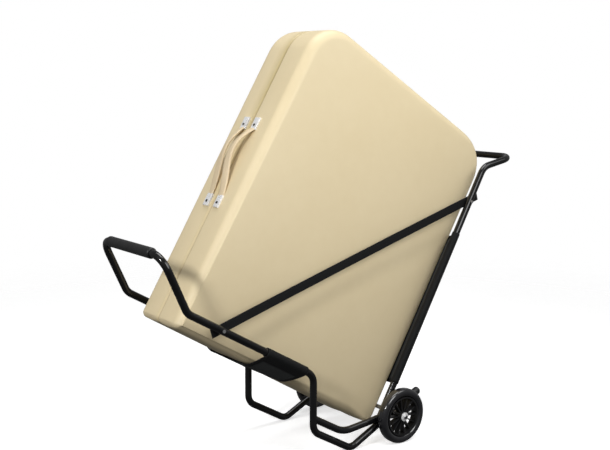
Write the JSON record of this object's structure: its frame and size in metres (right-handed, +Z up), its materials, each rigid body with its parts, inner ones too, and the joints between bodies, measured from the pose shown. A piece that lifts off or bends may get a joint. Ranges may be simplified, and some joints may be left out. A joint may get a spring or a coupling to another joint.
{
  "type": "two-wheel cart with folded massage table",
  "caption": "Black steel-tube two-wheel cart parked leaning back, carrying a folded cream-upholstered massage table in two fabric slings, with strap handles.",
  "frame": {"origin": "middle of the part's box on the floor, with the cart parked leaning back on its two wheels and two feet", "axes": "+X from the wheels towards the front grip, +Y across to the side that has the tilt step, along the axle, +Z up"},
  "size_m": [1.2624, 0.4346, 1.1707],
  "materials": {
    "black_tube": "gloss black powder-coated steel tube",
    "foam_grip": "black closed-cell foam sleeve",
    "black_plastic": "black moulded plastic",
    "bare_steel": "zinc-plated steel",
    "dark_steel": "dark screw head",
    "chrome_fitting": "bright plated fitting",
    "sling_cloth": "charcoal woven nylon",
    "webbing": "black nylon webbing",
    "rubber_tyre": "smooth black rubber",
    "hub_plastic": "black moulded spoked hub",
    "cream_upholstery": "cream vinyl over foam, sewn edges",
    "cream_leather": "cream strap leather",
    "beech_wood": "lacquered beech",
    "rubber_foot": "black rubber foot"
  },
  "bodies": {
    "cart": {"axle": "bare_steel", "axle_rings": "chrome_fitting", "axle_spacers": "black_plastic", "back_frame": "black_tube", "back_sling": "sling_cloth", "bottom_sling": "sling_cloth", "far_side_tube": "black_tube", "far_strap": "webbing", "front_bow": "black_tube", "front_grip": "foam_grip", "near_side_tube": "black_tube", "near_strap": "webbing", "strap_rivets": "bare_steel", "tilt_step": "black_tube", "tube_end_caps": "black_plastic"},
    "near_wheel": {"near_tyre": "rubber_tyre", "near_hub": "hub_plastic", "near_bush": "chrome_fitting"},
    "far_wheel": {"far_tyre": "rubber_tyre", "far_hub": "hub_plastic", "far_bush": "chrome_fitting"},
    "table": {"far_deck": "beech_wood", "far_grab_handle": "cream_leather", "far_hinge_leaves": "bare_steel", "far_leg_brackets": "bare_steel", "far_leg_feet": "rubber_foot", "far_legs": "beech_wood", "far_pad": "cream_upholstery", "far_struts": "bare_steel", "far_wood_frame": "beech_wood", "grab_plates": "chrome_fitting", "hinge_barrels": "bare_steel", "near_deck": "beech_wood", "near_grab_handle": "cream_leather", "near_hinge_leaves": "bare_steel", "near_leg_brackets": "bare_steel", "near_leg_feet": "rubber_foot", "near_legs": "beech_wood", "near_pad": "cream_upholstery", "near_struts": "bare_steel", "near_wood_frame": "beech_wood", "plate_screws": "dark_steel"}
  },
  "joints": [
    {"name": "near_wheel_spin", "type": "hinge", "parent": "cart", "child": "near_wheel", "pos_m": [-0.13526, 0.195, 0.08], "axis": [0, 1, 0], "continuous": true},
    {"name": "far_wheel_spin", "type": "hinge", "parent": "cart", "child": "far_wheel", "pos_m": [-0.13526, -0.195, 0.08], "axis": [0, 1, 0], "continuous": true},
    {"name": "table_lift", "type": "slide", "parent": "cart", "child": "table", "axis": [-0.5135, 0, 0.8581], "range_m": [0, 1]}
  ]
}
